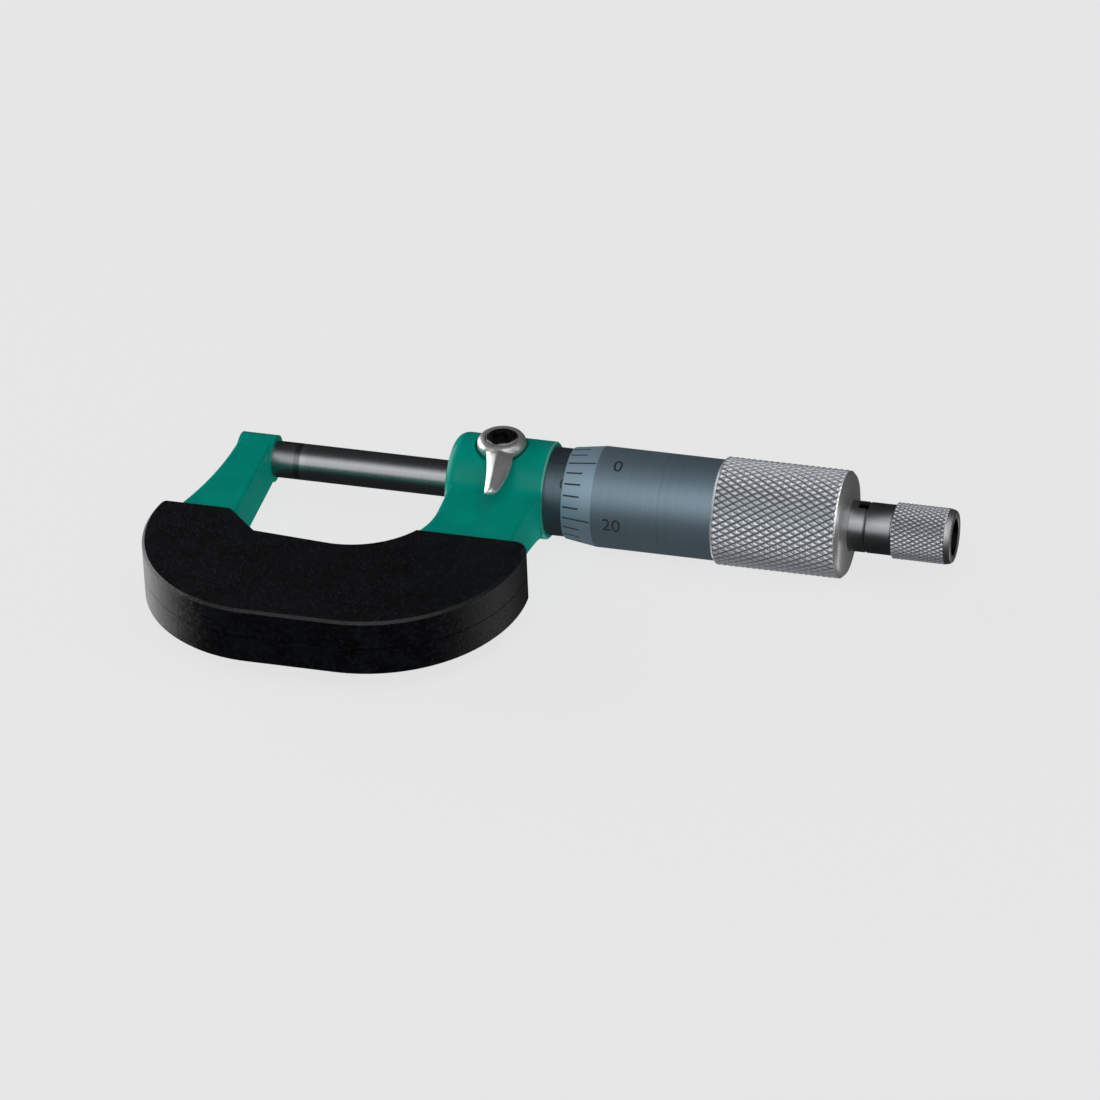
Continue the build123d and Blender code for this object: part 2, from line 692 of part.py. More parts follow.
def lever_arm():
    """The lever's arm, pointing away from the axis: bellied on one side and drooping to its tip."""
    top = hub_top - LEVER_BEVEL
    low = hub_bottom + LEVER_UNDERCUT
    tip_low = hub_bottom - LEVER_DROP
    tip_high = tip_low + LEVER_TIP_THICKNESS
    tip_start = LEVER_LENGTH - LEVER_TIP_WIDTH / 2
    droop = (LEVER_BELLY_AT - LEVER_LEVEL_TO) / (tip_start - LEVER_LEVEL_TO)
    level_low = hub_bottom + LEVER_UNDERCUT / 2
    level_top = top - LEVER_BEVEL
    belly_low = level_low + droop * (tip_low - level_low)
    belly_top = level_top + droop * (tip_high - level_top)
    sections = [
        arm_section(0, LEVER_ROOT_WIDTH, low, top),
        arm_section(LEVER_LEVEL_TO, LEVER_LEVEL_WIDTH, level_low, level_top, LEVER_BELLY),
        arm_section(LEVER_BELLY_AT, LEVER_BELLY_WIDTH, belly_low, belly_top, LEVER_BELLY),
        arm_section(tip_start, LEVER_TIP_WIDTH, tip_low, tip_high),
        arm_section(LEVER_LENGTH, LEVER_TIP_WIDTH / 2, tip_low, tip_high - LEVER_BEVEL / 2),
    ]
    return loft(sections, ruled=True)


def lock_lever():
    """The lever of the lock, with a counterbored hub for its screw."""
    hub = chamfer(level_edges(Cylinder(HUB_R, HUB_HEIGHT), HUB_HEIGHT / 2), LEVER_BEVEL)
    lever = Pos(0, 0, (hub_bottom + hub_top) / 2) * hub + lever_arm()
    seat = hub_top + CAP_HEAD_PROUD - CAP_HEAD_HEIGHT
    lever -= post(0, 0, hub_bottom - 1, hub_bottom + LOCK_BOLT_RISE, LOCK_BOLT_R)
    lever -= post(0, 0, hub_bottom, hub_top, CAP_SHANK_R)
    lever -= post(0, 0, seat, hub_top + 1, CAP_HEAD_R + CAP_HEAD_FIT)
    return Pos(lock_x, 0, 0) * Rot(0, 0, LEVER_LEAN) * lever


def lock_screw():
    """The socket-head screw that holds the lever on its bolt."""
    head_top = hub_top + CAP_HEAD_PROUD
    seat = head_top - CAP_HEAD_HEIGHT
    shank_end = hub_bottom + LOCK_BOLT_RISE - CAP_SHANK_LENGTH
    head = chamfer(level_edges(Cylinder(CAP_HEAD_R, CAP_HEAD_HEIGHT), CAP_HEAD_HEIGHT / 2), CAP_HEAD_PROUD)
    screw = Pos(lock_x, 0, (seat + head_top) / 2) * head
    screw += post(lock_x, 0, shank_end, seat, CAP_SHANK_R)
    hexagon = RegularPolygon(SOCKET_ACROSS / 2, 6, major_radius=False)
    return screw - Pos(lock_x, 0, head_top - SOCKET_DEPTH) * extrude(hexagon, SOCKET_DEPTH + 1)


pieces = {
    "frame": frame,
    "front_cover": front_cover,
    "back_cover": back_cover,
    "anvil": anvil,
    "anvil_tip": anvil_tip,
    "inner_sleeve": inner_sleeve,
    "adjusting_nut": adjusting_nut,
    "sleeve": sleeve,
    "lock_pad": lock_pad,
    "lock_bolt": lock_bolt,
    "lock_washer": lock_washer,
    "lock_lever": lock_lever,
    "lock_screw": lock_screw,
    "spindle_tip": spindle_tip,
    "spindle": spindle,
    "thimble": thimble,
    "ratchet_base": ratchet_base,
    "ratchet_ring": ratchet_ring,
    "ratchet_spring": ratchet_spring,
    "ratchet_knob": ratchet_knob,
    "ratchet_washer": ratchet_washer,
    "ratchet_screw": ratchet_screw,
}

os.makedirs("parts", exist_ok=True)
for name, make in pieces.items():
    export_step(Pos(-centre_x, -centre_y, knurl_r) * make(), "parts/" + name + ".step")
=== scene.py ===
import math

import bpy
from bpy.props import FloatProperty, FloatVectorProperty, IntProperty, PointerProperty
from mathutils import Matrix, Vector


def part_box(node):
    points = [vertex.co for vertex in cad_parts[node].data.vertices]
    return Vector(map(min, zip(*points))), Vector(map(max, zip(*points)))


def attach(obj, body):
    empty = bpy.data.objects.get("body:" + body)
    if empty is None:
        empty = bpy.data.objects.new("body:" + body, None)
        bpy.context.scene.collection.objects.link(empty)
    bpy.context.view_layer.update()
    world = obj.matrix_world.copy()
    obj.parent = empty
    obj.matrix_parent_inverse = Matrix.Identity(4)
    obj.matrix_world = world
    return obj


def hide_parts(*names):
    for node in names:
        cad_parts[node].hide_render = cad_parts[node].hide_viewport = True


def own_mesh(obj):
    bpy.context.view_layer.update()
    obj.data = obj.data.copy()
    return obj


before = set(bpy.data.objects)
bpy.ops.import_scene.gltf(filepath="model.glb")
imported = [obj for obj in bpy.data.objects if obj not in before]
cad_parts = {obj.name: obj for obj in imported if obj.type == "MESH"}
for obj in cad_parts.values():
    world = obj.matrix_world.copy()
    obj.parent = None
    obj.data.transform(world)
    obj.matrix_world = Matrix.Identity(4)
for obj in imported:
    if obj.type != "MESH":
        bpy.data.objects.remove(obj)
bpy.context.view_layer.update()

bl_info = {
    "name": "Vernier micrometer",
    "version": (1, 0, 0),
    "blender": (4, 5, 0),
    "location": "3D View > Sidebar > Micrometer",
    "description": "Models the visible pieces and finishes of a micrometer around its CAD frame",
    "category": "Object",
}

MM = 0.001
INCH = 25.4
FLOOR_TONE = 0.78

# The frame's collar ends here along the axis; the thin paler line on its sharp right edge is a painted
# highlight
COLLAR_END = 44.6
COLLAR_R = 8.45
PAINTED_COLLAR_HIGHLIGHT = (0.16, 0.46, 0.38)

# How near two points are to be merged, and to count as being at one place, in millimetres
WELD = 1e-4
NEAR = 1e-3


def axis_origin():
    """The point of the row frame where the two measuring faces meet, on the measuring axis."""
    low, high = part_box("anvil_tip")
    return Vector((high.x, (low.y + high.y) / 2, (low.z + high.z) / 2))


ORIGIN = axis_origin()


def along(x):
    """A place in metres as millimetres along the measuring axis."""
    return (x - ORIGIN.x) / MM


def above_axis(z):
    """A height in metres as millimetres above the measuring axis."""
    return (z - ORIGIN.z) / MM


def node_span(node):
    """Where a CAD node starts and ends along the axis, and its radius, in millimetres."""
    low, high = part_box(node)
    return along(low.x), along(high.x), (high.z - low.z) / 2 / MM


THIMBLE_START, THIMBLE_END, KNURL_R = node_span("thimble")
SLEEVE_START, SLEEVE_END, SLEEVE_R = node_span("sleeve")
KNOB_START, KNOB_END, KNOB_R = node_span("ratchet_knob")
NECK_R = node_span("ratchet_base")[2]


class MicrometerSizes(bpy.types.PropertyGroup):
    """Sizes of the modelled pieces, in millimetres and degrees."""

    divisions: IntProperty(
        name="Divisions", description="Graduations round the thimble", default=25, min=5)
    zero_angle: FloatProperty(
        name="Zero angle", description="Where the zero lines lie, from the top towards the throat",
        default=math.radians(16.5), subtype="ANGLE")
    line_width: FloatProperty(
        name="Line width", description="Width of an engraved line, in mm", default=0.3)
    line_depth: FloatProperty(
        name="Line depth", description="Depth of the engraving, in mm", default=0.1)
    digit_height: FloatProperty(
        name="Digit height", description="Height of the thimble's digits, in mm", default=2.35)
    knurl_columns: IntProperty(
        name="Thimble knurl count", description="Diamonds round the thimble", default=46)
    knurl_length: FloatProperty(
        name="Diamond length", description="Length of a thimble diamond, in mm", default=2.03)
    knurl_depth: FloatProperty(
        name="Knurl depth", description="Depth of the thimble's knurl, in mm", default=0.36)
    knob_columns: IntProperty(
        name="Knob knurl count", description="Diamonds round the ratchet knob", default=36)
    knob_diamond: FloatProperty(
        name="Knob diamond length", description="Length of a knob diamond, in mm", default=1.43)
    knob_depth: FloatProperty(
        name="Knob knurl depth", description="Depth of the knob's knurl, in mm", default=0.24)
    spring_turns: IntProperty(
        name="Spring turns", description="Turns of the ratchet's spring", default=4, min=2)
    spring_wire: FloatProperty(
        name="Spring wire", description="Thickness of the spring's wire, in mm", default=0.48)
    spring_stroke: FloatProperty(
        name="Spring stroke", description="How far the toothed ring pushes the spring back, in mm",
        default=0.6)


class MicrometerColours(bpy.types.PropertyGroup):
    """Colours of the finishes, as linear values."""

    enamel: FloatVectorProperty(
        name="Enamel", description="Colour of the frame's enamel", subtype="COLOR", size=3,
        default=(0.0, 0.345, 0.265))
    cover: FloatVectorProperty(
        name="Cover", description="Colour of the moulded covers", subtype="COLOR", size=3,
        default=(0.0014, 0.0017, 0.0026))
    satin: FloatVectorProperty(
        name="Satin chrome", description="Colour of the thimble's finish", subtype="COLOR", size=3,
        default=(0.268, 0.368, 0.445))
    knurl: FloatVectorProperty(
        name="Knurl", description="Colour of the worn peaks of the knurls", subtype="COLOR", size=3,
        default=(0.9, 0.94, 1.0))
    steel: FloatVectorProperty(
        name="Steel", description="Colour of bare ground steel", subtype="COLOR", size=3,
        default=(0.48, 0.495, 0.505))
    nickel: FloatVectorProperty(
        name="Nickel", description="Colour of the lever's plating", subtype="COLOR", size=3,
        default=(0.92, 0.91, 0.89))
    floor: FloatVectorProperty(
        name="Floor", description="Colour of the plain floor", subtype="COLOR", size=3,
        default=(FLOOR_TONE,) * 3)


# Shader recipes


class Value:
    """A number in a finish, which can be used in sums."""

    def __init__(self, finish, socket):
        self.finish = finish
        self.socket = socket

    def sum(self, operation, *values):
        return self.finish.node("ShaderNodeMath", {"operation": operation}, dict(enumerate(values)))

    def __add__(self, other):
        return self.sum("ADD", self, other)

    def __radd__(self, other):
        return self.sum("ADD", other, self)

    def __sub__(self, other):
        return self.sum("SUBTRACT", self, other)

    def __rsub__(self, other):
        return self.sum("SUBTRACT", other, self)

    def __mul__(self, other):
        return self.sum("MULTIPLY", self, other)

    def __rmul__(self, other):
        return self.sum("MULTIPLY", other, self)

    def __truediv__(self, other):
        return self.sum("DIVIDE", self, other)

    def __pow__(self, other):
        return self.sum("POWER", self, other)

    def step(self, low, high):
        """Rises smoothly from 0 at low to 1 at high."""
        settings = {"interpolation_type": "SMOOTHSTEP"}
        return self.finish.node("ShaderNodeMapRange", settings, {0: self, 1: low, 2: high})


class Finish:
    """A material on the principled shader, with shorthand for its nodes."""

    def __init__(self, name, **constants):
        self.material = bpy.data.materials.new(name)
        self.material.use_nodes = True
        self.tree = self.material.node_tree
        self.shader = self.tree.nodes["Principled BSDF"]
        for socket, value in constants.items():
            self.set(socket.replace("_", " ").title().replace("Ior", "IOR"), value)

    def feed(self, socket, value):
        """Links a value to a socket, or gives it a plain number, vector or colour."""
        if isinstance(value, Value):
            self.tree.links.new(value.socket, socket)
        elif hasattr(value, "__len__"):
            opaque = (1.0,) if socket.type == "RGBA" and len(value) == 3 else ()
            socket.default_value = (*value, *opaque)
        else:
            socket.default_value = value

    def node(self, kind, settings=None, inputs=None, output=0):
        """Adds a node: its settings first, then the values or links of its sockets."""
        node = self.tree.nodes.new(kind)
        for name, value in (settings or {}).items():
            setattr(node, name, value)
        for name, value in (inputs or {}).items():
            self.feed(node.inputs[name], value)
        return Value(self, node.outputs[output])

    def set(self, socket, value):
        self.feed(self.shader.inputs[socket], value)

    def place(self, scale=(1, 1, 1), shift=(0, 0, 0)):
        """Object coordinates, moved by shift and stretched by scale."""
        here = self.node("ShaderNodeTexCoord", output="Object")
        inputs = {"Vector": here, "Location": shift, "Scale": scale}
        return self.node("ShaderNodeMapping", {"vector_type": "POINT"}, inputs)

    def parts(self, vector):
        """The three numbers of a vector."""
        split = self.tree.nodes.new("ShaderNodeSeparateXYZ")
        self.feed(split.inputs[0], vector)
        return [Value(self, out) for out in split.outputs]

    def noise(self, vector, scale, detail=2.0, rough=0.5):
        inputs = {"Vector": vector, "Scale": scale, "Detail": detail, "Roughness": rough}
        return self.node("ShaderNodeTexNoise", None, inputs)

    def blend(self, share, first, second):
        """A colour between two colours."""
        mix = self.tree.nodes.new("ShaderNodeMix")
        mix.data_type = "RGBA"
        self.feed(mix.inputs[0], share)
        self.feed(mix.inputs[6], first)
        self.feed(mix.inputs[7], second)
        return Value(self, mix.outputs[2])

    def bump(self, height, distance):
        inputs = {"Height": height, "Distance": distance, "Strength": 1.0}
        self.set("Normal", self.node("ShaderNodeBump", None, inputs))

    def from_axis(self):
        """How far along the measuring axis a point is, and how far from it, in millimetres."""
        shift = tuple(-c / MM for c in ORIGIN)
        x, y, z = self.parts(self.place((1 / MM,) * 3, shift))
        return x, (y * y + z * z) ** 0.5


def shade(colour, share):
    """A colour made lighter or darker."""
    return tuple(min(1.0, c * share) for c in colour)


def enamel_finish(colour):
    """Cast iron under thick enamel: soft gloss, faintly uneven, with a painted highlight on the collar's
    edge.
    """
    finish = Finish("frame_enamel_finish", specular_ior_level=0.12)
    here = finish.place()
    broad = finish.noise(here, 150, 3.0, 0.5)
    fine = finish.noise(here, 2200, 2.0, 0.5)
    paint = finish.blend(broad.step(0.25, 0.8), shade(colour, 0.92), shade(colour, 1.08))
    # painted highlight: a paler line along the sharp right edge of the collar's end
    x, radius = finish.from_axis()
    at_end = x.step(COLLAR_END - 0.32, COLLAR_END - 0.24)
    at_rim = radius.step(COLLAR_R - 0.36, COLLAR_R - 0.28)
    on_collar = 1 - radius.step(COLLAR_R + 0.05, COLLAR_R + 0.1)
    painted_highlight_mask = at_end * at_rim * on_collar
    finish.set("Base Color", finish.blend(painted_highlight_mask, paint, PAINTED_COLLAR_HIGHLIGHT))
    finish.set("Roughness", 0.22 + broad * 0.12)
    finish.bump(broad * 0.7 + fine * 0.3, 0.00006)
    return finish.material


def cover_finish(colour):
    """Black moulded plastic with a fine grain, soft patches and scattered small specks."""
    finish = Finish("cover_plastic_finish", specular_ior_level=0.44)
    here = finish.place()
    grain = finish.noise(here, 5200, 2.0, 0.6)
    cloud = finish.noise(here, 240, 2.0, 0.5)
    speck = finish.noise(here, 1250, 3.0, 0.7).step(0.5, 0.66)
    black = finish.blend(cloud.step(0.35, 0.7), shade(colour, 0.4), shade(colour, 1.7))
    finish.set("Base Color", finish.blend(speck, black, shade(colour, 4.5)))
    finish.set("Roughness", 0.27 + cloud * 0.08)
    finish.bump(grain * 0.75 + speck * 0.25, 0.0001)
    return finish.material


def turned_finish(name, colour, rough, ring_scale, ring_depth, cloud_share=0.12, matt_to=None,
                  bright_from=None, bright_tone=0.75, bright_gloss=0.12, dark_within=None, metallic=1.0):
    """Metal finished on a lathe or grinder, with fine rings round the measuring axis.

    It can be lighter and more matt up to one place along the axis, and brighter after another as a
    painted sheen; inside one radius it is dark as painted shade.
    """
    finish = Finish(name, metallic=metallic)
    x, radius = finish.from_axis()
    across_rings = finish.node("ShaderNodeCombineXYZ", None, {0: x, 1: radius * 0.4})
    rings = finish.noise(across_rings, ring_scale, 4.0, 0.7)
    cloud = finish.noise(finish.place(), 300, 3.0, 0.6)
    tone = rings * (1 - cloud_share) + cloud * cloud_share
    base = finish.blend(tone.step(0.25, 0.8), shade(colour, 0.86), shade(colour, 1.1))
    rough = rough - 0.05 + 0.1 * tone
    if matt_to is not None:
        matt = 1 - x.step(matt_to - 0.1, matt_to + 0.1)
        base = finish.blend(matt, base, shade(colour, 1.5))
        rough = rough + 0.1 * matt
    # painted sheen: a lighter tone after bright_from stands for the highlights of turned end faces
    if bright_from is not None:
        bright = x.step(bright_from - 0.02, bright_from + 0.02)
        painted_sheen = finish.blend(tone, (0.8 * bright_tone,) * 3, (1.2 * bright_tone,) * 3)
        base = finish.blend(bright, base, painted_sheen)
        rough = rough - bright_gloss * bright
    # painted shade: dark inside the radius, in recesses and notches where shade falls
    if dark_within is not None:
        lit = radius.step(dark_within - 0.03, dark_within + 0.03)
        base = finish.blend(lit, (0.012, 0.012, 0.013), base)
    finish.set("Base Color", base)
    finish.set("Roughness", rough)
    finish.bump(rings, ring_depth)
    return finish.material


def knurl_finish(name, colour, valley_r, peak_r):
    """The satin finish on a knurl: dark valleys as painted shade, and bright peaks."""
    finish = Finish(name, metallic=0.7)
    x, radius = finish.from_axis()
    height = (radius - valley_r) / (peak_r - valley_r)
    grain = finish.noise(finish.place(), 2600, 3.0, 0.6)
    # painted shade: the valleys between the diamonds are darkened
    pale_share = (height - 0.1 + grain * 0.2).step(0.0, 0.62)
    finish.set("Base Color", finish.blend(pale_share, shade(colour, 0.18), colour))
    finish.set("Roughness", 0.42 - 0.1 * pale_share)
    finish.bump(grain, 0.00003)
    return finish.material


def cast_metal_finish(name, colour, rough, depth=0.00005, metallic=1.0):
    """Plated or blackened metal over a slightly uneven surface."""
    finish = Finish(name, metallic=metallic)
    here = finish.place()
    broad = finish.noise(here, 300, 2.0, 0.5)
    fine = finish.noise(here, 2700, 3.0, 0.6)
    finish.set("Base Color", finish.blend(broad.step(0.3, 0.7), shade(colour, 0.88), shade(colour, 1.1)))
    finish.set("Roughness", rough - 0.04 + 0.08 * fine)
    finish.bump(broad * 0.6 + fine * 0.4, depth)
    return finish.material


def worn_screw_finish(centre_x, rim_r):
    """Black oxide that is worn to bare metal in patches on the rim of the screw's head."""
    finish = Finish("lock_screw_finish", metallic=0.8)
    shift = (-(ORIGIN.x / MM + centre_x), -ORIGIN.y / MM, 0)
    x, y, z = finish.parts(finish.place((1 / MM,) * 3, shift))
    radius = (x * x + y * y) ** 0.5
    grain = finish.noise(finish.place(), 1500, 3.0, 0.7)
    patch = finish.noise(finish.place(), 420, 1.0, 0.5)
    pale_share = (radius - rim_r + grain * 0.3 + patch * 1.2).step(0.75, 0.95)
    finish.set("Base Color", finish.blend(pale_share, (0.02, 0.021, 0.023), (0.6, 0.6, 0.58)))
    finish.set("Roughness", 0.24 + grain * 0.12)
    finish.bump(grain, 0.00004)
    return finish.material


def ink_finish():
    """Black paint in the engraved lines and digits."""
    finish = Finish("engraving_ink", specular_ior_level=0.3)
    grain = finish.noise(finish.place(), 3000, 2.0, 0.6)
    finish.set("Base Color", finish.blend(grain, (0.03, 0.034, 0.04), (0.06, 0.068, 0.08)))
    finish.set("Roughness", 0.6 + grain * 0.2)
    finish.bump(grain, 0.00002)
    return finish.material


# Modelling moves


def clear_selection():
    if bpy.context.object and bpy.context.object.mode != "OBJECT":
        bpy.ops.object.mode_set(mode="OBJECT")
    bpy.ops.object.select_all(action="DESELECT")


def hold(piece):
    """Makes one piece the only selected one, and the active one."""
    clear_selection()
    piece.select_set(True)
    bpy.context.view_layer.objects.active = piece
    return piece


def added(name):
    """The piece that an operator has just added, under its own name."""
    piece = bpy.context.object
    piece.name = name
    piece.data.name = name
    return piece


def pick(piece, test, mode="VERT"):
    """Selects the points, or the faces, of a piece that pass a test, and opens it for editing."""
    hold(piece)
    mesh = piece.data
    for group in (mesh.vertices, mesh.edges, mesh.polygons):
        group.foreach_set("select", [False] * len(group))
    if mode == "VERT":
        found = [v for v in mesh.vertices if test(v.co)]
    else:
        found = [face for face in mesh.polygons if test(face)]
    if not found:
        raise RuntimeError(piece.name + ": nothing to pick")
    for part in found:
        part.select = True
    bpy.ops.object.mode_set(mode="EDIT")
    bpy.ops.mesh.select_mode(type=mode)


def pick_all(piece):
    hold(piece)
    bpy.ops.object.mode_set(mode="EDIT")
    bpy.ops.mesh.select_all(action="SELECT")


def close_edit():
    bpy.ops.object.mode_set(mode="OBJECT")


def settle(piece):
    """Puts a piece's place, turn and scale in its mesh."""
    hold(piece)
    bpy.ops.object.transform_apply(location=True, rotation=True, scale=True)
    return piece


def placed(piece, at=(0, 0, 0), turn=(0, 0, 0), scale=(1, 1, 1)):
    piece.location = at
    piece.rotation_euler = turn
    piece.scale = scale
    return settle(piece)


def modified(piece, kind, **settings):
    """Adds a modifier and applies it."""
    hold(piece)
    modifier = piece.modifiers.new(kind.lower(), kind)
    for name, value in settings.items():
        setattr(modifier, name, value)
    bpy.ops.object.modifier_apply(modifier=modifier.name)
    return piece


def joined(name, pieces):
    """Several pieces as one mesh."""
    hold(pieces[0])
    for piece in pieces[1:]:
        piece.select_set(True)
    if len(pieces) > 1:
        bpy.ops.object.join()
    return added(name)


def combined(piece, tool, how, crossed=False):
    """Cuts a tool out of a piece, adds it, or keeps what both share. Cuts have the tool's finish."""
    modified(piece, "BOOLEAN", operation=how, object=tool, solver="EXACT", material_mode="TRANSFER",
             use_self=crossed)
    bpy.data.objects.remove(tool)
    return piece


def turned(name, outline, steps=240):
    """A body turned about the measuring axis: a point is drawn out along the outline, and spun."""
    clear_selection()
    bpy.ops.mesh.primitive_plane_add(size=1)
    piece = added(name)
    bpy.ops.object.mode_set(mode="EDIT")
    bpy.ops.mesh.merge(type="CENTER")
    x, radius = outline[0]
    bpy.ops.transform.translate(value=(x, 0, radius))
    for next_x, next_radius in outline[1:]:
        move = (next_x - x, 0, next_radius - radius)
        bpy.ops.mesh.extrude_vertices_move(TRANSFORM_OT_translate={"value": move})
        x, radius = next_x, next_radius
    if outline[0][1] > 0:
        move = (outline[0][0] - x, 0, outline[0][1] - radius)
        bpy.ops.mesh.extrude_vertices_move(TRANSFORM_OT_translate={"value": move})
    bpy.ops.mesh.select_all(action="SELECT")
    bpy.ops.mesh.remove_doubles(threshold=WELD)
    bpy.ops.mesh.select_all(action="SELECT")
    bpy.ops.mesh.spin(steps=steps, angle=2 * math.pi, center=(0, 0, 0), axis=(1, 0, 0))
    bpy.ops.mesh.select_all(action="SELECT")
    bpy.ops.mesh.remove_doubles(threshold=WELD)
    bpy.ops.mesh.normals_make_consistent(inside=False)
    close_edit()
    return piece


def copies(piece, turns, name):
    """A piece copied to each turn about the measuring axis, as one mesh."""
    made = []
    for angle in turns:
        twin = piece.copy()
        twin.data = piece.data.copy()
        bpy.context.collection.objects.link(twin)
        made.append(placed(twin, turn=(angle, 0, 0)))
    bpy.data.objects.remove(piece)
    return joined(name, made)


def bar(name, start, end, radius_start, radius_end, width, depth):
    """A cutter for a straight line along the axis, lying on a cylinder or a cone."""
    clear_selection()
    bpy.ops.mesh.primitive_cube_add(size=1)
    piece = added(name)
    length = math.hypot(end - start, radius_end - radius_start)
    tilt = -math.atan2(radius_end - radius_start, end - start)
    middle = ((start + end) / 2, 0, (radius_start + radius_end) / 2)
    return placed(piece, middle, (0, tilt, 0), (length, width, 2 * depth))


def digit(name, text, height, x, radius, angle, depth):
    """A cutter for a number that reads along the axis, facing outwards at one angle."""
    cap_share, stroke_gain = 0.7, 0.008
    clear_selection()
    bpy.ops.object.text_add()
    letters = bpy.context.object
    letters.data.body = text
    letters.data.size = height / cap_share
    letters.data.extrude = 2 * depth
    letters.data.offset = stroke_gain * height
    letters.data.resolution_u = 4
    letters.data.align_x = "CENTER"
    bpy.ops.object.convert(target="MESH")
    piece = added(name)
    placed(piece, (x, -height / 2, radius))
    placed(piece, turn=(angle, 0, 0))
    pick_all(piece)
    bpy.ops.mesh.remove_doubles(threshold=WELD)
    bpy.ops.mesh.normals_make_consistent(inside=False)
    close_edit()
    return piece


def diamond_band(name, start, end, valley_r, peak_r, inner_r, columns, length):
    """A knurled ring: one diamond is raised, repeated, trimmed and bent round the axis."""
    width = 2 * math.pi * valley_r / columns
    depth = peak_r - valley_r
    rows = math.ceil((end - start) / length) + 2
    clear_selection()
    bpy.ops.mesh.primitive_circle_add(vertices=4, radius=0.5, fill_type="NGON")
    band = placed(added(name), scale=(length, width, 1))
    half_width = length * width / 4 / math.hypot(length / 2, width / 2)
    pick_all(band)
    for share_in, share_up in ((0.52, 0.7), (0.42, 0.3)):
        bpy.ops.mesh.inset(thickness=share_in * half_width, depth=share_up * depth)
    close_edit()
    for count, step in ((rows, (length, 0, 0)), (columns, (0, width, 0))):
        modified(band, "ARRAY", use_relative_offset=False, use_constant_offset=True,
                 constant_offset_displace=step, count=count)
    twin = band.copy()
    twin.data = band.data.copy()
    bpy.context.collection.objects.link(twin)
    placed(twin, (length / 2, width / 2, 0))
    joined(name, [band, twin])
    pick_all(band)
    bpy.ops.mesh.remove_doubles(threshold=NEAR)
    # trimmed clear of the diamonds' corners, so that no sliver is left
    trim = 0.37 * length
    for place, keep_right in ((trim, True), (trim + end - start, False)):
        bpy.ops.mesh.select_all(action="SELECT")
        bpy.ops.mesh.bisect(
            plane_co=(place, 0, 0), plane_no=(1, 0, 0),
            clear_inner=keep_right, clear_outer=not keep_right)
    close_edit()
    placed(band, (start - trim, 0, 0))
    placed(band, turn=(math.pi / 2, 0, 0))
    span = [v.co.z for v in band.data.vertices]
    modified(band, "SIMPLE_DEFORM", deform_method="BEND", deform_axis="X",
             angle=(max(span) - min(span)) / valley_r)
    placed(band, (0, -valley_r, 0))
    pick_all(band)
    bpy.ops.mesh.remove_doubles(threshold=2 * NEAR)
    close_edit()
    for place in (start, end):
        pick(band, lambda co: abs(co.x - place) < NEAR)
        bpy.ops.mesh.extrude_region_move()
        bpy.ops.transform.tosphere(value=1)
        close_edit()
        ring = [v for v in band.data.vertices if v.select]
        radius = sum(math.hypot(v.co.y, v.co.z) for v in ring) / len(ring)
        bpy.ops.object.mode_set(mode="EDIT")
        share = inner_r / radius
        bpy.ops.transform.resize(value=(1, share, share), center_override=(place, 0, 0))
        close_edit()
    pick(band, lambda co: math.hypot(co.y, co.z) < inner_r + NEAR)
    bpy.ops.mesh.bridge_edge_loops()
    bpy.ops.mesh.select_all(action="SELECT")
    bpy.ops.mesh.normals_make_consistent(inside=False)
    close_edit()
    return band


def smooth(piece, degrees=28):
    hold(piece)
    bpy.ops.object.shade_smooth_by_angle(angle=math.radians(degrees))
    return piece


def into_frame(piece):
    """Takes a finished piece from millimetres about the axis to metres in the row frame."""
    return placed(piece, tuple(ORIGIN), scale=(MM, MM, MM))


def finished(piece, body, slot, nodes, *finishes):
    """Gives a finished piece its place, its materials and its body, and hides the CAD nodes that it
    stands for.
    """
    into_frame(piece)
    if not any(piece.data.materials):
        piece.data.materials.clear()
    for finish in finishes:
        if finish.name not in piece.data.materials:
            piece.data.materials.append(finish)
    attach(piece, body)
    if nodes:
        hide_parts(*nodes)
    return piece


def dressed(node, material):
    """Gives a CAD node that is kept its own finish."""
    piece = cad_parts[node]
    if piece.data.materials:
        piece.material_slots[0].material = material
    else:
        piece.data.materials.append(material)


def sizes():
    return bpy.context.scene.micrometer_sizes


def colours():
    return bpy.context.scene.micrometer_colours


# Operators


